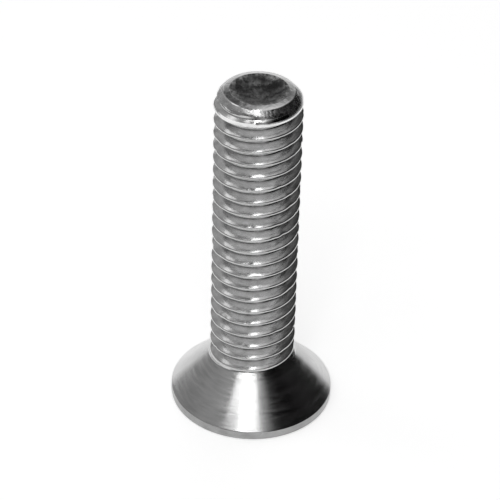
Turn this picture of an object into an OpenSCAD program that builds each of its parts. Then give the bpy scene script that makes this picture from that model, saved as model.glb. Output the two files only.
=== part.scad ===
// Countersunk machine screw, M6 x 25, threaded over its whole shank.
// It stands on its flat head face at z = 0 with the tip up. Lengths are in millimetres.

/* [Overall] */

// Length over all, from the flat head face to the tip
screw_len = 25; // [16:0.5:40]

/* [Head] */

// Diameter of the head over its rim
head_d = 11.3; // [10:0.1:13]

// Angle of the cone under the head, from side to side
head_angle = 90; // [80:1:100]

// Height of the plain rim between the flat face and the cone
rim_h = 0.65; // [0.3:0.05:1]

// Bevel where the flat face meets the rim
rim_edge = 0.12; // [0.05:0.01:0.25]

// Radius of the hollow corner between the cone and the shank
neck_r = 0.3; // [0.2:0.05:1]

/* [Thread] */

// Diameter over the crests of the thread
thread_d = 5.94; // [5.6:0.02:6.1]

// Rise of the thread in one turn
pitch = 1; // [0.8:0.05:1.25]

// Depth of the thread from crest to root
thread_depth = 0.61; // [0.4:0.01:0.75]

// Width of the flat crest
crest_w = 0.14; // [0.08:0.01:0.25]

// Width of the flat at the root
root_w = 0.18; // [0.1:0.01:0.25]

// Turns over which the thread rises to full depth near the head
fade_turns = 0.5; // [0.25:0.05:1.5]

/* [Tip] */

// Height of the bevel round the tip
tip_bevel = 0.8; // [0.4:0.05:1]

// How far in from the crests the end face begins
tip_inset = 0.83; // [0.5:0.01:1]

// Width of the gentle slope between the end face and the bevel
tip_edge_w = 0.24; // [0.1:0.02:0.3]

// Drop of that slope
tip_edge_h = 0.1; // [0.03:0.01:0.2]

// Width of the narrow ring round the dish
tip_ring = 0.24; // [0.2:0.02:0.6]

// Distance below the tip at which the groove has run out
runout_gap = 0.5; // [0.2:0.05:1]

// Height over which the groove runs out
runout_h = 0.9; // [0.4:0.05:1.5]

// Depth of the shallow dish in the end face
dish_depth = 0.35; // [0.1:0.05:0.8]

// Width of the sloping side of the dish
dish_side = 0.95; // [0.3:0.05:1.5]

/* [Cross recess] */

// Span of the cross from wing end to wing end at the flat face
recess_span = 6.8; // [6:0.1:7.4]

// Span of the cross where the wings stop
recess_span_low = 3.8; // [3:0.1:4.4]

// Depth at which the wings stop
wing_depth = 3; // [2.4:0.05:3.4]

// Further depth of the pointed floor
floor_depth = 1; // [0.6:0.05:1.2]

// Width of a wing at the flat face
wing_w = 1.4; // [1.1:0.05:1.7]

// Width of a wing where it stops
wing_w_low = 0.8; // [0.6:0.05:1]

// Distance between opposite inner corners at the flat face
core_w = 4.4; // [3.8:0.1:5]

// Distance between opposite inner corners at the bottom of the floor
core_w_low = 1.2; // [0.8:0.1:1.6]

// Angle of the metal at each inner corner
corner_angle = 146; // [130:1:160]

// Radius of the rounded inner corner
corner_r = 0.6; // [0.2:0.05:1]

/* [Quality] */

// Straight pieces in one turn of the thread
turn_steps = 32; // [16:4:32]

// Facets round the head and shank
round_steps = 96; // [48:12:144]

/* [Hidden] */

head_r = head_d / 2;
crest_r = thread_d / 2;
tip_r = crest_r - tip_inset;
dish_r = tip_r - tip_ring;
tan_half = tan(head_angle / 2);
cone_h = (head_r - crest_r) / tan_half;
head_h = rim_h + cone_h;

// Hollow corner: it touches the cone and the shank, and turns by half the cone angle
turn = head_angle / 2;
reach = neck_r * tan(turn / 2);
neck_top = head_h + reach;

// Thread: the profile of one pitch goes root, root, crest, crest. Its lowest turns are plain
// and lie inside the head, and its highest are cut away with the tip.
flank_h = (pitch - crest_w - root_w) / 2;
sunk_turns = 1.83;
plain_turns = 1.5;
thread_low = neck_top - sunk_turns * pitch;
turns = ceil((screw_len - thread_low) / pitch) + 1;
steps = turns * turn_steps;

// The neck is a hair wider than the crests, so their flats end inside it. Above it the cone is
// carried on inwards, so each groove runs out on its slope.
skin = 0.02;
neck_outer = crest_r + skin;
neck_in = crest_r - thread_depth - 0.1;
neck_peak = neck_top + (neck_outer - neck_in) / tan_half;

// Recess: all its faces are carried on a little below the flat face
over = 0.3;
recess_depth = wing_depth + floor_depth;
end_run = (recess_span - recess_span_low) / 2 / wing_depth;
wing_run = (wing_w - wing_w_low) / wing_depth;
core_run = (core_w - core_w_low) / recess_depth;
core_mouth = core_w + over * core_run;
lean = (180 - corner_angle) / 2;

function neck_arc() = [
  for (i = [0:6])
    let (a = 180 + turn - turn * i / 6)
    [neck_outer + neck_r + neck_r * cos(a), neck_top + neck_r * sin(a)]
];

function head_outline() = concat(
  [
    [0, 0],
    [head_r - rim_edge, 0],
    [head_r, rim_edge],
    [head_r, rim_h]
  ],
  neck_arc(),
  [
    [neck_in, neck_peak],
    [0, neck_peak]
  ]
);

module head() {
  rotate_extrude($fn = round_steps)
    polygon(head_outline());
}

function clamp(x) = min(1, max(0, x));

function fade(i) = clamp((i / turn_steps - plain_turns) / fade_turns);

function runout(z) = clamp((screw_len - runout_gap - z) / runout_h);

function ring(i) =
  let (
    a = 360 * i / turn_steps,
    z = thread_low + pitch * i / turn_steps,
    r0 = crest_r - thread_depth * fade(i) * runout(z + root_w / 2),
    c = cos(a),
    s = sin(a)
  )
  [
    [r0 * c, r0 * s, z],
    [r0 * c, r0 * s, z + root_w],
    [crest_r * c, crest_r * s, z + root_w + flank_h],
    [crest_r * c, crest_r * s, z + root_w + flank_h + crest_w]
  ];

// A right-hand helix in one closed surface: p and q are on one step, u and v on the next
module threaded_rod() {
  rings = [for (i = [0:steps]) each ring(i)];
  low = 4 * (steps + 1);
  high = low + 1;
  points = concat(
    rings,
    [
      [0, 0, thread_low - pitch / 2],
      [0, 0, thread_low + (turns + 3 / 2) * pitch]
    ]
  );
  strips = [
    for (i = [0:steps - 1]) for (j = [0:2])
      let (
        p = 4 * i + j,
        q = p + 1,
        u = p + 4,
        v = q + 4
      )
      each [[p, q, v], [p, v, u]]
  ];
  upper_flanks = [
    for (i = [0:steps - turn_steps - 1])
      let (
        p = 4 * i + 3,
        q = 4 * (i + turn_steps),
        u = p + 4,
        v = q + 4
      )
      each [[p, q, v], [p, v, u]]
  ];
  low_cap = [
    for (i = [0:turn_steps - 1]) [low, 4 * i, 4 * (i + 1)]
  ];
  low_wall = [
    [low, 4 * turn_steps, 3],
    [low, 3, 2],
    [low, 2, 1],
    [low, 1, 0]
  ];
  first = steps - turn_steps;
  high_cap = [
    for (i = [first:steps - 1]) [high, 4 * (i + 1) + 3, 4 * i + 3]
  ];
  high_wall = [
    [high, 4 * first + 3, 4 * steps],
    [high, 4 * steps, 4 * steps + 1],
    [high, 4 * steps + 1, 4 * steps + 2],
    [high, 4 * steps + 2, 4 * steps + 3]
  ];
  polyhedron(
    points = points,
    faces = concat(strips, upper_flanks, low_cap, low_wall, high_cap, high_wall),
    convexity = 30
  );
}

// Everything past the tip: it leaves the bevel, the end ring and the dish
module tip_cutter() {
  slope = (tip_inset - tip_edge_w) / (tip_bevel - tip_edge_h);
  clear = 1;
  low = screw_len - tip_bevel - clear;
  top = screw_len + 4 * pitch;
  wide = crest_r + (slope + 1) * clear;
  rotate_extrude($fn = round_steps)
    polygon([
      [0, screw_len - dish_depth],
      [dish_r - dish_side, screw_len - dish_depth],
      [dish_r, screw_len],
      [tip_r, screw_len],
      [tip_r + tip_edge_w, screw_len - tip_edge_h],
      [crest_r + slope * clear, low],
      [wide, low],
      [wide, top],
      [0, top]
    ]);
}

module shank() {
  difference() {
    threaded_rod();
    tip_cutter();
  }
}

// One arm of the cross, with sides that close in with depth
module wing() {
  rotate([90, 0, 90])
    linear_extrude(height = recess_span + 2, center = true)
      polygon([
        [-(wing_w + over * wing_run) / 2, -over],
        [(wing_w + over * wing_run) / 2, -over],
        [(wing_w_low - floor_depth * wing_run) / 2, recess_depth],
        [-(wing_w_low - floor_depth * wing_run) / 2, recess_depth]
      ]);
}

// Four-pointed star: between two points the metal comes in as a rounded blunt corner
function corner(k) =
  let (
    c = core_mouth / 2 + corner_r,
    a = 45 + 90 * k
  )
  [
    for (i = [-2:2])
      let (b = a + 180 - lean * i / 2)
      [c * cos(a) + corner_r * cos(b), c * sin(a) + corner_r * sin(b)]
  ];

function star_tip(k) =
  let (
    c = core_mouth / 2 + corner_r - corner_r / cos(lean),
    r = c * (cos(45) + sin(45) / tan(45 - lean))
  )
  [[r * cos(90 * k), r * sin(90 * k)]];

module core() {
  translate([0, 0, -over])
    linear_extrude(height = recess_depth + over, scale = core_w_low / core_mouth)
      polygon([for (k = [0:3]) each concat(star_tip(k), corner(k))]);
}

module recess_cutter() {
  intersection() {
    union() {
      wing();
      rotate([0, 0, 90])
        wing();
      core();
    }
    rotate_extrude($fn = round_steps)
      polygon([
        [0, -over],
        [recess_span / 2 + over * end_run, -over],
        [recess_span_low / 2, wing_depth],
        [0, recess_depth]
      ]);
  }
}

module screw() {
  color([0.78, 0.79, 0.8])
    difference() {
      union() {
        head();
        shank();
      }
      recess_cutter();
    }
}

screw();
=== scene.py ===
"""Countersunk machine screw, M6 x 25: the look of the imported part.

One closed mesh stands for the CAD solid. Its thread is a true right-hand helix with rounded
roots and softened crests. Sizes of the screw are in millimetres and become metres in the mesh.
Those of the floor, the lamps and the camera are in metres.
"""

import math

import bmesh
import bpy
import numpy as np
from mathutils import Matrix, Vector
from mathutils.geometry import delaunay_2d_cdt


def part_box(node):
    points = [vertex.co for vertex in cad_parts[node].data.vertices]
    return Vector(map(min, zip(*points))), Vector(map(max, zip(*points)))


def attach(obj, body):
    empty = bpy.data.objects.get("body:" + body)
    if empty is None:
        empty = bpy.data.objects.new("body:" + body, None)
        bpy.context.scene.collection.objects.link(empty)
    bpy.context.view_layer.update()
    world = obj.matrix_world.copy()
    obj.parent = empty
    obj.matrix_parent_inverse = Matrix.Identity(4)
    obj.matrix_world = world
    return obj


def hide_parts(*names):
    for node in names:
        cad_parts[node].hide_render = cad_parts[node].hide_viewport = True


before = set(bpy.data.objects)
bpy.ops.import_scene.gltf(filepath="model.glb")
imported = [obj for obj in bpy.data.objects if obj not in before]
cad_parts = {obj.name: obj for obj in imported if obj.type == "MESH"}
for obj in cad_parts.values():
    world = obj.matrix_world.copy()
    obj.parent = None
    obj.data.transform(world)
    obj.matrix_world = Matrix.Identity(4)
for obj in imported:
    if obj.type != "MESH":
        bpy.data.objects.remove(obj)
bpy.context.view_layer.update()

MM = 0.001

# The solid's box gives the length and the radius of the head
BOX_LOW, BOX_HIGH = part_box("screw")
LENGTH = round((BOX_HIGH[2] - BOX_LOW[2]) / MM, 3)
HEAD_R = round(min(-BOX_LOW[0], -BOX_LOW[1], BOX_HIGH[0], BOX_HIGH[1]) / MM, 3)

# Head: height of the rim, radii of its two edges and of the neck, and the border of the flat face
RIM_H = 0.65
RIM_TOP_R = 0.1
RIM_LOW_R = 0.13
NECK_R = 0.16
FACE_BORDER = 0.6

# Thread
CREST_R = 2.97
PITCH = 1.0
DEPTH = 0.61
CREST_W = 0.13
CREST_ROUND = 0.1
ROOT_W = 0.18
ROOT_ROUND = 0.13

# The groove rises to full depth over these turns. Near the tip it runs out over this height, and
# is gone this far below the tip
FADE_TURNS = 0.5
RUNOUT_H = 0.9
RUNOUT_TOP = 0.2
RUNOUT_BLEND = 0.08

# Tip: bevel, gentle edge, narrow ring and dish
TIP_BEVEL = 0.72
TIP_INSET = 0.79
BEVEL_BLEND = 0.2
EDGE_W = 0.2
EDGE_H = 0.08
EDGE_ROUND = 0.28
TIP_RING = 0.25
RING_ROUND = 0.25
DISH_DEPTH = 0.35
DISH_SIDE = 0.95
DISH_ROUND = 1.5
DISH_RINGS = (0.55, 0.35, 0.17)

# Wear: how far all crests sit in, and how much further their middle does
CREST_SINK = 0.008
CREST_FLAT = 0.003

# Wavering along the helix: the seed of each wave, how fast it runs and its size
WAVERS = ((3, 0.37, 0.006), (5, 1.9, 0.004))

# Nicks along the crests: how many, up to which turn, range of half widths in turns, least depth
# and what chance adds to it
NICK_SEED = 41
NICK_COUNT = 280
NICK_LAST = 24
NICK_WIDTHS = (0.006, 0.022)
NICK_DEPTH = 0.008
NICK_SPREAD = 0.05

# Cross recess: sizes at the face, and how much each loses in a millimetre of depth
WING_R = 3.4
WING_R_RUN = 0.5
WING_HALF = 0.7
WING_HALF_RUN = 0.1
CORE_R = 2.2
CORE_R_RUN = 0.4
CORNER_R = 0.6
CORNER_LEAN = math.radians(17)
WING_DEPTH = 3.0
FLOOR_DEPTH = 1.0
MOUTH_R = 0.07

# Fineness of the mesh: columns round the screw, steps in the rounds and in the recess, and the
# change of depth above which a flank is split
COLUMNS = 144
CREST_STEPS = 5
ROOT_STEPS = 4
RIM_STEPS = 5
EDGE_STEPS = 7
DISH_STEPS = 8
MOUTH_STEPS = 3
WALL_STEPS = 12
FLOOR_STEPS = 4
END_STEPS = 5
SIDE_STEPS = 3
SLANT_STEPS = 6
CORNER_STEPS = 4
SPLIT_DEPTH = 0.25

# The helix starts inside the head: height of its first crest and the turns that stay plain
FIRST_CREST = 1.214
PLAIN_TURNS = 1.4

# The helix is cut level at the neck and a little below the gentle edge of the tip
TOP_MARGIN = 0.08
HEAD_H = RIM_H + HEAD_R - CREST_R
LOW_CUT = HEAD_H - NECK_R
TOP_CUT = LENGTH - EDGE_H - TOP_MARGIN

TIP_R = CREST_R - TIP_INSET
DISH_R = TIP_R - TIP_RING
BEVEL_SLOPE = (TIP_INSET - EDGE_W) / (TIP_BEVEL - EDGE_H)

# Each part of the surface has its own steel
THREAD, CONE, FACE, RECESS, DISH, LIP, RIM, BEVEL, LAND = range(9)

# How near to a form's own surface a point has to be to have its steel, and the height below the tip
# within which a crest counts as the wide land, whose steel is lighter as a painted highlight
BEVEL_SKIN = 0.04
LAND_SKIN = 0.05
EDGE_SKIN = 0.02
LAND_H = 1.3

# Points nearer than this are joined and shorter edges are dissolved, in metres, and an edge that
# turns by more than this stays a crease
JOIN_DISTANCE = 2e-7
SHORT_EDGE = 1e-8
CREASE_ANGLE = math.radians(38)


def arc_corner(a, b, c, radius, steps):
    """Points of the round that replaces the corner b of the line a, b, c."""
    u = (a - b) / np.linalg.norm(a - b)
    v = (c - b) / np.linalg.norm(c - b)
    half = math.acos(float(u @ v)) / 2
    reach = radius / math.tan(half)
    mid = (u + v) / np.linalg.norm(u + v)
    centre = b + mid * radius / math.sin(half)
    start = b + u * reach - centre
    end = b + v * reach - centre
    sweep = math.pi - 2 * half
    out = []
    for i in range(steps + 1):
        t = i / steps
        w0 = math.sin((1 - t) * sweep) / math.sin(sweep)
        w1 = math.sin(t * sweep) / math.sin(sweep)
        out.append(centre + start * w0 + end * w1)
    return out


def rounded(first, corners, last):
    """The line from first to last, with each corner (x, y, radius, steps) between them rounded."""
    spots = [np.array(p[:2], float) for p in (first, *corners, last)]
    out = [spots[0]]
    for i, (_, _, radius, steps) in enumerate(corners):
        out += arc_corner(spots[i], spots[i + 1], spots[i + 2], radius, steps)
    out.append(spots[-1])
    return [(float(x), float(y)) for x, y in out]


def thread_profile():
    """One pitch of the thread as (height, depth) pairs, from crest middle to crest middle."""
    flank = (PITCH - CREST_W - ROOT_W) / 2
    root_low = CREST_W / 2 + flank
    corners = [
        (CREST_W / 2, 0, CREST_ROUND, CREST_STEPS),
        (root_low, DEPTH, ROOT_ROUND, ROOT_STEPS),
        (root_low + ROOT_W, DEPTH, ROOT_ROUND, ROOT_STEPS),
        (PITCH - CREST_W / 2, 0, CREST_ROUND, CREST_STEPS),
    ]
    line = rounded((0, 0), corners, (PITCH, 0))
    full = []
    for p, q in zip(line, line[1:]):
        full.append(p)
        if abs(q[1] - p[1]) > SPLIT_DEPTH:
            full.append(((p[0] + q[0]) / 2, (p[1] + q[1]) / 2))
    return full


def make_wave(seed):
    """The parts of a smooth wobble between about -1 and 1: waves, size and shift of each."""
    rng = np.random.default_rng(seed)
    highest = 1.6
    return [(k, rng.uniform(-1, 1) / k / highest, rng.random()) for k in (1, 2, 3, 5)]


WAVES = [(make_wave(seed), rate, size) for seed, rate, size in WAVERS]


def waver(turn):
    """How much the thread wavers at one turn of the helix."""
    total = 0.0
    for parts, rate, size in WAVES:
        for k, part, shift in parts:
            total += size * part * math.sin(2 * math.pi * (k * turn * rate + shift))
    return total


def make_nicks():
    """Place, half width and depth of the nicks; the first two are in turns."""
    rng = np.random.default_rng(NICK_SEED)
    place = rng.uniform(PLAIN_TURNS, NICK_LAST, NICK_COUNT)
    width = rng.uniform(*NICK_WIDTHS, NICK_COUNT)
    depth = NICK_DEPTH + NICK_SPREAD * rng.random(NICK_COUNT) ** 3
    return place, width, depth


NICKS = make_nicks()


def nick(turn):
    """Depth of the nicks at one turn of the crest."""
    place, width, depth = NICKS
    return float(np.sum(depth * np.exp(-(((turn - place) / width) ** 2))))


def smooth_min(a, b, k):
    """The smaller of a and b, rounded off where they differ by less than k."""
    h = max(k - abs(a - b), 0.0) / k
    return min(a, b) - h * h * k / 4


def smooth(x):
    """Rises from 0 to 1 as x does, with level ends."""
    x = min(1.0, max(0.0, x))
    return x * x * (3 - 2 * x)


def cone_r(z):
    """Radius of the cone under the head at height z, carried on into the shank."""
    return HEAD_R - (z - RIM_H)


def bevel_r(z):
    """Radius that the bevel leaves at height z."""
    return TIP_R + EDGE_W + (LENGTH - EDGE_H - z) * BEVEL_SLOPE


def groove_share(along):
    """Share of its full depth that the groove has at one turn of the helix."""
    root_z = FIRST_CREST + PITCH * (along + 0.5)
    start = smooth((along - PLAIN_TURNS) / FADE_TURNS)
    return start * smooth((LENGTH - RUNOUT_TOP - root_z) / RUNOUT_H)


def thread_r(along, t, depth):
    """Radius of the thread at one turn, at the height t above its crest, where the profile has
    this depth."""
    share = groove_share(along)
    wear = waver(along)
    skipped = 1 - share
    cut = -smooth_min(0.0, skipped * DEPTH - depth, RUNOUT_BLEND * skipped + 1e-6)
    nearest_crest = along if t < PITCH / 2 else along + 1
    near = (1 - depth / DEPTH) ** 2
    r = CREST_R - CREST_SINK - cut * (1 + wear)
    r -= near * (CREST_FLAT + wear / 2 + nick(nearest_crest))
    return min(r, CREST_R)


def shank_r(along, t, depth, z):
    """Radius of the shank there: the thread, cut by the bevel and joined to the cone."""
    r = smooth_min(thread_r(along, t, depth), bevel_r(z), BEVEL_BLEND)
    return -smooth_min(-r, -cone_r(z), NECK_R)


def shank_mark(r, z):
    """The steel at one place of the shank."""
    if r > bevel_r(z) - BEVEL_SKIN:
        return BEVEL
    if r > CREST_R - LAND_SKIN and z > LENGTH - LAND_H:
        return LAND
    return THREAD


class Solid:
    """Collects points in rings and joins them into one closed mesh."""

    def __init__(self):
        self.points = []
        self.faces = []
        self.marks = []

    def point(self, x, y, z):
        self.points.append((x * MM, y * MM, z * MM))
        return len(self.points) - 1

    def ring(self, r, z):
        out = []
        for i in range(COLUMNS):
            a = 2 * math.pi * i / COLUMNS
            out.append(self.point(r * math.cos(a), r * math.sin(a), z))
        return out

    def face(self, corners, mark):
        clean = [c for i, c in enumerate(corners) if c != corners[i - 1]]
        if len(set(clean)) >= 3:
            self.faces.append(clean)
            self.marks.append(mark)

    def band(self, low, high, mark):
        """Joins two rings of the same count; high lies above low, seen from outside."""
        n = len(low)
        for i in range(n):
            j = (i + 1) % n
            self.face([low[i], low[j], high[j], high[i]], mark)


def thread_column(solid, i, profile, rows, marks):
    """Points of one column, from the neck to the tip, cut level at both ends. The mark of each
    goes into marks."""
    a = 2 * math.pi * i / COLUMNS
    column = []
    ends = {}
    for k in range(rows):
        n, j = divmod(k, len(profile))
        t, depth = profile[j]
        along = i / COLUMNS + n
        z = FIRST_CREST + PITCH * along + t
        z_cut = min(max(z, LOW_CUT), TOP_CUT)
        if z_cut in ends:
            column.append(ends[z_cut])
            continue
        if z > TOP_CUT:
            r = bevel_r(TOP_CUT)
        elif z < LOW_CUT:
            r = cone_r(LOW_CUT)
        else:
            r = shank_r(along, t, depth, z)
        p = solid.point(r * math.cos(a), r * math.sin(a), z_cut)
        marks[p] = shank_mark(r, z_cut)
        if z_cut in (LOW_CUT, TOP_CUT):
            ends[z_cut] = p
        column.append(p)
    return column


def shared_mark(marks, corners):
    """The mark that all corners have, or else the thread's."""
    found = {marks[c] for c in corners}
    return found.pop() if len(found) == 1 else THREAD


def add_thread(solid):
    """The helix on a sheared grid. Returns its upper ring."""
    profile = thread_profile()
    per = len(profile)
    turns = math.ceil((LENGTH - FIRST_CREST) / PITCH) + 1
    rows = turns * per
    marks = {}
    columns = [thread_column(solid, i, profile, rows + per, marks) for i in range(COLUMNS)]
    for i, here in enumerate(columns):
        beside = columns[(i + 1) % COLUMNS]
        shift = per if i + 1 == COLUMNS else 0
        for k in range(rows - 1):
            quad = [here[k], beside[k + shift], beside[k + shift + 1], here[k + 1]]
            solid.face(quad, shared_mark(marks, quad))
    return [column[rows - 1] for column in columns]


def add_head(solid):
    """Cone and rim as a revolve. Returns the ring that borders the flat face."""
    corners = [
        (HEAD_R, RIM_H, RIM_TOP_R, RIM_STEPS),
        (HEAD_R, 0, RIM_LOW_R, RIM_STEPS),
    ]
    path = rounded((cone_r(LOW_CUT), LOW_CUT), corners, (HEAD_R - FACE_BORDER, 0))
    rings = [solid.ring(r, z) for r, z in path]
    for k in range(len(rings) - 1):
        mark = CONE if path[k + 1][1] > RIM_H - EDGE_SKIN else RIM
        solid.band(rings[k + 1], rings[k], mark)
    return rings[-1]


def add_tip(solid, edge):
    """Gentle edge, narrow ring and dish, from the thread's upper ring to the middle."""
    dish_z = LENGTH - DISH_DEPTH
    corners = [
        (TIP_R + EDGE_W, LENGTH - EDGE_H, EDGE_ROUND, EDGE_STEPS),
        (DISH_R, LENGTH, RING_ROUND, DISH_STEPS),
        (DISH_R - DISH_SIDE, dish_z, DISH_ROUND, DISH_STEPS),
    ]
    path = rounded((bevel_r(TOP_CUT), TOP_CUT), corners, (0, dish_z))[1:-1]
    path += [(r, dish_z) for r in DISH_RINGS]
    last = edge
    for r, z in path:
        ring = solid.ring(r, z)
        solid.band(last, ring, DISH if r < DISH_R + EDGE_SKIN else LIP)
        last = ring
    solid.band(last, [solid.point(0, 0, dish_z)] * COLUMNS, DISH)


def between(a, b, steps):
    """Evenly spaced points from a towards b, which is left out."""
    return [(a[0] + (b[0] - a[0]) * s / steps, a[1] + (b[1] - a[1]) * s / steps) for s in range(steps)]


def around(centre, r, angle):
    """The point of a circle at one angle; its centre has this x and the same y."""
    return centre + r * math.cos(angle), centre + r * math.sin(angle)


def recess_eighth(end, half, core):
    """An eighth of the recess in plan: half the end of a wing, its side, the slanting side of the
    core, and half of the rounded corner between two wings."""
    edge = math.asin(half / end)
    points = [around(0, end, edge * s / END_STEPS) for s in range(END_STEPS)]

    # The slanting side meets the wing's side where it comes in from the star's tip
    corner = CORNER_R * core / CORE_R
    slope = math.tan(math.pi / 4 - CORNER_LEAN)
    apex = core + corner - corner / math.cos(CORNER_LEAN)
    star = apex * (math.cos(math.pi / 4) + math.sin(math.pi / 4) / slope)
    meet = (star - half / slope, half)
    points += between((end * math.cos(edge), half), meet, SIDE_STEPS)

    centre = (core + corner) * math.cos(math.pi / 4)
    arc = []
    for s in range(CORNER_STEPS + 1):
        b = math.pi * 5 / 4 + CORNER_LEAN * (1 - s / CORNER_STEPS)
        arc.append(around(centre, corner, b))
    return points + between(meet, arc[0], SLANT_STEPS) + arc


def recess_outline(depth, grow=0.0):
    """The recess in plan at one depth, as a closed loop; grow pushes it outwards."""
    end = WING_R - WING_R_RUN * depth + grow
    half = WING_HALF - WING_HALF_RUN * depth + grow
    core = CORE_R - CORE_R_RUN * depth + grow
    eighth = recess_eighth(end, half, core)
    quarter = eighth + [(y, x) for x, y in reversed(eighth[1:-1])]
    loop = []
    for k in range(4):
        c = math.cos(math.pi / 2 * k)
        s = math.sin(math.pi / 2 * k)
        loop += [(x * c - y * s, x * s + y * c) for x, y in quarter]
    return loop


def recess_levels():
    """Height and outline of each level: rounded mouth, straight walls and pointed floor."""
    levels = []
    for s in range(MOUTH_STEPS + 1):
        a = math.pi / 2 * s / MOUTH_STEPS
        z = MOUTH_R * (1 - math.cos(a))
        levels.append((z, recess_outline(z, MOUTH_R * (1 - math.sin(a)))))
    for s in range(1, WALL_STEPS + 1):
        z = MOUTH_R + (WING_DEPTH - MOUTH_R) * s / WALL_STEPS
        levels.append((z, recess_outline(z)))
    base = levels[-1][1]
    for s in range(1, FLOOR_STEPS):
        t = s / FLOOR_STEPS
        levels.append((WING_DEPTH + FLOOR_DEPTH * t, [(x * (1 - t), y * (1 - t)) for x, y in base]))
    return levels


def add_recess(solid):
    """The recess, from its mouth to its point. Returns the ring of its mouth."""
    rings = []
    for z, outline in recess_levels():
        rings.append([solid.point(x, y, z) for x, y in outline])
    point = solid.point(0, 0, WING_DEPTH + FLOOR_DEPTH)
    rings.append([point] * len(rings[0]))
    for low, high in zip(rings[1:], rings):
        solid.band(low, high, RECESS)
    return rings[0]


def closed_edges(first, count):
    """Edges of a closed loop of points that are numbered from first on."""
    return [(first + i, first + (i + 1) % count) for i in range(count)]


def inside(p, loop):
    """Is a plane point inside a closed loop?"""
    odd = False
    for a, b in zip(loop, loop[1:] + loop[:1]):
        if (a.y > p.y) != (b.y > p.y):
            x = a.x + (p.y - a.y) / (b.y - a.y) * (b.x - a.x)
            if p.x < x:
                odd = not odd
    return odd


def add_flat_face(solid, outer, inner):
    """The flat face between the rim's ring and the mouth of the recess."""
    names = outer + inner
    flat = [Vector((x / MM, y / MM)) for x, y, _ in (solid.points[p] for p in names)]
    edges = closed_edges(0, len(outer)) + closed_edges(len(outer), len(inner))
    verts, _, faces, source, _, _ = delaunay_2d_cdt(flat, edges, [], 0, 1e-7)
    mouth = flat[len(outer):]
    for f in faces:
        centre = sum((verts[v] for v in f), Vector((0, 0))) / len(f)
        if not inside(centre, mouth):
            corners = [names[source[v][0]] for v in reversed(f)]
            solid.face(corners, FACE)


def build_mesh(solid):
    """The mesh of the screw: points that meet are joined, and creases stay sharp."""
    mesh = bpy.data.meshes.new("screw_body")
    mesh.from_pydata(solid.points, [], solid.faces)
    for poly, mark in zip(mesh.polygons, solid.marks):
        poly.material_index = mark
    bm = bmesh.new()
    bm.from_mesh(mesh)
    bmesh.ops.remove_doubles(bm, verts=bm.verts, dist=JOIN_DISTANCE)
    loose = [v for v in bm.verts if not v.link_faces]
    bmesh.ops.delete(bm, geom=loose, context="VERTS")
    bmesh.ops.triangulate(bm, faces=[f for f in bm.faces if len(f.verts) > 3])
    bmesh.ops.dissolve_degenerate(bm, dist=SHORT_EDGE, edges=bm.edges)
    bmesh.ops.recalc_face_normals(bm, faces=bm.faces)
    bm.to_mesh(mesh)
    bm.free()
    mesh.polygons.foreach_set("use_smooth", [True] * len(mesh.polygons))
    mesh.set_sharp_from_angle(angle=CREASE_ANGLE)
    mesh.update()
    return mesh


def add_screw():
    """The whole screw as one object."""
    solid = Solid()
    upper_ring = add_thread(solid)
    face_ring = add_head(solid)
    add_tip(solid, upper_ring)
    mouth_ring = add_recess(solid)
    add_flat_face(solid, face_ring, mouth_ring)
    screw = bpy.data.objects.new("screw_body", build_mesh(solid))
    bpy.context.scene.collection.objects.link(screw)
    return screw


body = add_screw()
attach(body, "root")
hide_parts("screw")


class Nodes:
    """Short calls for building a node tree."""

    def __init__(self, tree):
        self.tree = tree
        self.tree.nodes.clear()

    def new(self, kind, **values):
        node = self.tree.nodes.new(kind)
        for key, value in values.items():
            setattr(node, key, value)
        return node

    def link(self, a, b):
        self.tree.links.new(a, b)

    def set(self, node, **values):
        for key, value in values.items():
            node.inputs[key.replace("_", " ")].default_value = value

    def math(self, op, *values):
        node = self.new("ShaderNodeMath", operation=op)
        for slot, value in enumerate(values):
            if isinstance(value, (int, float)):
                node.inputs[slot].default_value = value
            else:
                self.link(value, node.inputs[slot])
        return node.outputs[0]

    def ramp(self, value, stops):
        """Grey that goes through (place, level) stops as value rises."""
        node = self.new("ShaderNodeValToRGB")
        ramp = node.color_ramp
        while len(ramp.elements) < len(stops):
            ramp.elements.new(0.5)
        for element, (place, level) in zip(ramp.elements, stops):
            element.position = place
            element.color = (level, level, level, 1)
        self.link(value, node.inputs[0])
        return node.outputs[0]

    def map(self, value, first, last, to_first, to_last, **values):
        """Value from one range to another, held at both ends."""
        node = self.new("ShaderNodeMapRange", **values)
        self.set(node, From_Min=first, From_Max=last, To_Min=to_first, To_Max=to_last)
        self.link(value, node.inputs[0])
        return node.outputs[0]

    def split(self, vector):
        node = self.new("ShaderNodeSeparateXYZ")
        self.link(vector, node.inputs[0])
        return node.outputs

    def radius(self, vector):
        """Distance from the z axis."""
        squares = [self.math("MULTIPLY", v, v) for v in self.split(vector)[:2]]
        return self.math("SQRT", self.math("ADD", *squares))

    def noise(self, vector, scale, detail):
        """Noise with its own scale in x, y and z, per millimetre."""
        size = self.new("ShaderNodeMapping")
        size.inputs["Scale"].default_value = [v / MM for v in scale]
        self.link(vector, size.inputs["Vector"])
        noise = self.new("ShaderNodeTexNoise")
        self.set(noise, Scale=1.0, Detail=detail, Roughness=0.6)
        self.link(size.outputs[0], noise.inputs["Vector"])
        return noise.outputs[0]

    def bump(self, field, height, normal=None):
        """Relief of this height in millimetres, laid over another one if there is one."""
        relief = self.new("ShaderNodeBump")
        self.set(relief, Strength=1.0, Distance=height * MM)
        self.link(field, relief.inputs["Height"])
        if normal is not None:
            self.link(normal, relief.inputs["Normal"])
        return relief.outputs[0]


# Detail of a steel's small marks and of its waviness, the small marks' share in its patches, and
# the range of noise over which the roughness rises
FINE_DETAIL = 5.0
BROAD_DETAIL = 2.0
FINE_SHARE = 0.45
ROUGH_NOISE = (0.35, 0.65)
FAINT_PATCHES = (0.38, 0.8, 0.56)


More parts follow.
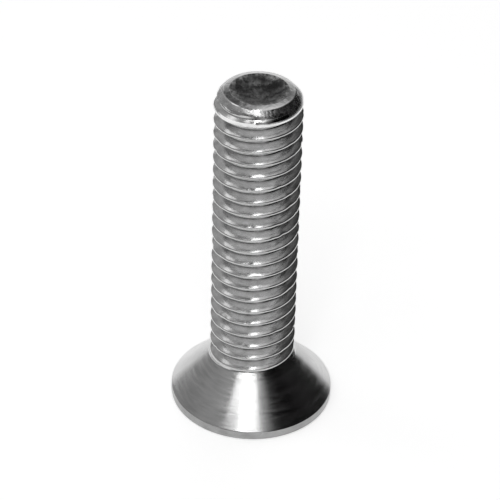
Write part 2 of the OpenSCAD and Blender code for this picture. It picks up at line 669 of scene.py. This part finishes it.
def metal(name, colour, rough, fine, broad, shade=None, patches=FAINT_PATCHES):
    """Plated steel. rough is its lowest and highest roughness; fine is the scale of its small
    marks in x, y and z per millimetre and their height; broad is the same for its waviness.
    shade is painted shade, which darkens it towards the axis: two radii and the share of the colour
    left at the first.
    patches is the noise level up to which only a share of the colour shows, that share, and the
    level from which all of it shows."""
    mat = bpy.data.materials.new(name)
    mat.use_nodes = True
    t = Nodes(mat.node_tree)
    out = t.new("ShaderNodeOutputMaterial")
    steel = t.new("ShaderNodeBsdfPrincipled")
    t.set(steel, Metallic=1.0)
    t.link(steel.outputs[0], out.inputs[0])
    place = t.new("ShaderNodeTexCoord").outputs["Object"]
    small = t.noise(place, fine[0], FINE_DETAIL)
    large = t.noise(place, broad[0], BROAD_DETAIL)

    rest = t.math("MULTIPLY", large, 1 - FINE_SHARE)
    mixed = t.math("MULTIPLY_ADD", small, FINE_SHARE, rest)
    level, share, full_level = patches
    tone = t.ramp(mixed, [(level, colour * share), (full_level, colour)])
    if shade:
        inner, outer, left = shade
        depth = t.map(
            t.radius(place), inner * MM, outer * MM, left, 1.0, interpolation_type="SMOOTHSTEP"
        )
        darker = t.new("ShaderNodeVectorMath", operation="SCALE")
        t.link(tone, darker.inputs[0])
        t.link(depth, darker.inputs["Scale"])
        tone = darker.outputs[0]
    t.link(tone, steel.inputs["Base Color"])
    t.link(t.map(small, *ROUGH_NOISE, *rough), steel.inputs["Roughness"])
    waviness = t.bump(large, broad[1])
    t.link(t.bump(small, fine[1], waviness), steel.inputs["Normal"])
    return mat


def even(scale):
    """The same scale in x, y and z."""
    return (scale,) * 3


def steels():
    """The steel of each mark, in the order of the marks."""
    rolled = (((1.0, 1.0, 8.0), 0.011), ((1.2, 1.2, 3.0), 0.014))
    # painted shade: the thread steel darkens towards the roots of the grooves
    painted_root_shade = (2.36, 2.6, 0.82)
    # painted shade: the dish steel darkens towards the middle of the dish
    painted_dish_shade = (1.4, 1.94, 0.36)
    dark_patches = (0.46, 0.2, 0.64)
    return [
        metal("thread_steel", 0.6, (0.14, 0.22), *rolled, painted_root_shade),
        metal("cone_steel", 0.6, (0.18, 0.26), ((0.6, 0.6, 7.0), 0.004), (even(0.35), 0.008)),
        metal("face_steel", 0.6, (0.25, 0.45), (even(7.0), 0.01), (even(0.7), 0.02)),
        metal("recess_steel", 0.5, (0.2, 0.35), (even(3.0), 0.008), (even(1.0), 0.02)),
        metal(
            "dish_steel", 0.5, (0.22, 0.42), ((3.5, 1.8, 3.0), 0.1), (even(1.6), 0.12),
            painted_dish_shade, dark_patches
        ),
        metal("lip_steel", 0.66, (0.12, 0.22), (even(3.0), 0.012), (even(1.2), 0.03)),
        # The rim's darker colour is painted shade, for the shaded floor next to it that the rim mirrors
        metal("rim_steel_painted_shade", 0.38, (0.25, 0.35), ((1.0, 1.0, 6.0), 0.006), (even(1.0), 0.02)),
        metal("bevel_steel", 0.6, (0.18, 0.34), (even(3.0), 0.025), (even(1.2), 0.05)),
        # The land's lighter colour is a painted highlight: a lit copy of the thread steel
        metal("land_steel_painted_highlight", 0.86, (0.14, 0.22), *rolled),
    ]


for made in steels():
    body.data.materials.append(made)


def studio():
    """A room with a bright strip in the middle, dark on the right and behind, with a low white
    panel behind. Places run from 0 to 1, from left to right and from front to back."""
    world = bpy.data.worlds.new("studio")
    bpy.context.scene.world = world
    world.use_nodes = True
    t = Nodes(world.node_tree)
    out = t.new("ShaderNodeOutputWorld")
    back = t.new("ShaderNodeBackground")
    t.link(back.outputs[0], out.inputs[0])
    x, y, up = t.split(t.new("ShaderNodeTexCoord").outputs["Generated"])
    right, behind = (t.math("MULTIPLY_ADD", value, 0.5, 0.5) for value in (x, y))

    left_half = [(0.0, 0.28), (0.12, 0.36), (0.21, 0.5), (0.28, 0.34), (0.34, 0.18), (0.44, 0.17)]
    strip = [(0.49, 0.78), (0.56, 0.9), (0.62, 0.86), (0.67, 0.77), (0.73, 0.55), (0.77, 0.3)]
    dark_side = [(0.8, 0.13), (0.84, 0.05), (0.88, 0.02), (1.0, 0.01)]
    front_level = [(0.0, 0.5), (0.15, 0.5), (0.25, 0.8), (0.4, 1.0)]
    room = t.math("MULTIPLY", t.ramp(right, left_half + strip + dark_side), t.ramp(behind, front_level))

    # Shades lie far behind, at the front right, and low on the right
    shades = [
        (t.ramp(behind, [(0.78, 0.0), (0.9, 0.85)]), t.ramp(right, [(0.2, 0.0), (0.38, 1.0)])),
        (t.ramp(right, [(0.62, 0.0), (0.72, 1.0)]), t.ramp(behind, [(0.38, 1.0), (0.52, 0.0)])),
        (t.ramp(right, [(0.66, 0.0), (0.72, 1.0)]), t.ramp(up, [(0.1, 0.85), (0.28, 0.0)])),
    ]
    for one, other in shades:
        room = t.math("MULTIPLY", room, t.math("SUBTRACT", 1.0, t.math("MULTIPLY", one, other)))

    low = t.ramp(up, [(0.0, 1.0), (0.2, 1.0), (0.45, 0.5), (0.56, 0.05)])
    narrow = t.ramp(right, [(0.24, 0.0), (0.32, 1.0), (0.66, 1.0), (0.73, 0.0)])
    far = t.ramp(behind, [(0.7, 0.0), (0.8, 1.0)])
    panel = t.math("MULTIPLY", low, t.math("MULTIPLY", narrow, far))
    t.link(t.math("MAXIMUM", panel, room), back.inputs["Color"])
    t.set(back, Strength=1.0)


# Lamps: place, what each is aimed at, width, height and power in watts
LAMPS = {
    "top_light": ((-0.046, -0.2, 0.49), (0, 0, 0.01), 0.065, 0.5, 0.34),
    "front_light": ((-0.064, -0.265, 0.324), (0, 0, 0.005), 0.28, 0.07, 0.15),
    "left_light": ((-0.32, 0.144, 0.49), (0, 0, 0.01), 0.18, 0.18, 0.09),
    "upper_left_light": ((-0.228, -0.18, 0.469), (0, 0, 0.02), 0.1, 0.1, 0.05),
}


def add_lamp(name, place, aim, width, height, power):
    data = bpy.data.lights.new(name, "AREA")
    data.shape = "RECTANGLE"
    data.energy = power
    data.size = width
    data.size_y = height
    lamp = bpy.data.objects.new(name, data)
    bpy.context.scene.collection.objects.link(lamp)
    lamp.location = place
    way = Vector(aim) - Vector(place)
    lamp.rotation_euler = way.to_track_quat("-Z", "Y").to_euler()


studio()
for lamp_name, settings in LAMPS.items():
    add_lamp(lamp_name, *settings)

# Floor: half its side, its tone by the distance from the screw, and its colour and own light
FLOOR_HALF = 1.5
FLOOR_TONES = [(0.08, 1.0), (0.16, 0.3), (0.5, 0.3), (0.9, 1.0)]
FLOOR_COLOUR = 0.95
FLOOR_GLOW = 0.52


def floor_material():
    """White that turns grey past the screw's surroundings and white again far off. Its own light
    shows only to the camera and in what mirrors it."""
    mat = bpy.data.materials.new("floor_white")
    mat.use_nodes = True
    t = Nodes(mat.node_tree)
    out = t.new("ShaderNodeOutputMaterial")
    white = t.ramp(t.radius(t.new("ShaderNodeTexCoord").outputs["Object"]), FLOOR_TONES)
    matt = t.new("ShaderNodeBsdfDiffuse")
    t.link(t.math("MULTIPLY", white, FLOOR_COLOUR), matt.inputs["Color"])
    ray = t.new("ShaderNodeLightPath")
    seen = t.math("MAXIMUM", ray.outputs["Is Camera Ray"], ray.outputs["Is Glossy Ray"])
    seen = t.math("MAXIMUM", seen, ray.outputs["Is Transmission Ray"])
    glow = t.new("ShaderNodeEmission")
    t.link(white, glow.inputs["Color"])
    t.link(t.math("MULTIPLY", seen, FLOOR_GLOW), glow.inputs["Strength"])
    both = t.new("ShaderNodeAddShader")
    t.link(matt.outputs[0], both.inputs[0])
    t.link(glow.outputs[0], both.inputs[1])
    t.link(both.outputs[0], out.inputs[0])
    return mat


def add_floor():
    """The sheet that the screw stands on and that keeps its soft shadow."""
    mesh = bpy.data.meshes.new("floor")
    r = FLOOR_HALF
    mesh.from_pydata([(-r, -r, 0), (r, -r, 0), (r, r, 0), (-r, r, 0)], [], [(0, 1, 2, 3)])
    floor = bpy.data.objects.new("floor", mesh)
    bpy.context.scene.collection.objects.link(floor)
    floor.data.materials.append(floor_material())


add_floor()

# Camera: as high above the screw, as far off and as tilted as in the photograph, framed closer
AIM = Vector((-0.33 * MM, 0, 12.11 * MM))
DISTANCE = 0.16
ELEVATION = math.radians(35.9)
ROLL = math.radians(1.53)
LENS = 169.4
SENSOR = 36.0
CLIP = (0.005, 20.0)


def add_camera():
    data = bpy.data.cameras.new("camera")
    data.lens = LENS
    data.sensor_width = SENSOR
    data.clip_start, data.clip_end = CLIP
    camera = bpy.data.objects.new("camera", data)
    bpy.context.scene.collection.objects.link(camera)
    away = Vector((0, -math.cos(ELEVATION), math.sin(ELEVATION)))
    look = (-away).to_track_quat("-Z", "Y").to_matrix().to_4x4()
    place = Matrix.Translation(AIM + away * DISTANCE)
    camera.matrix_world = place @ look @ Matrix.Rotation(ROLL, 4, "Z")
    return camera


bpy.context.scene.camera = add_camera()
bpy.context.scene.view_settings.view_transform = "Standard"
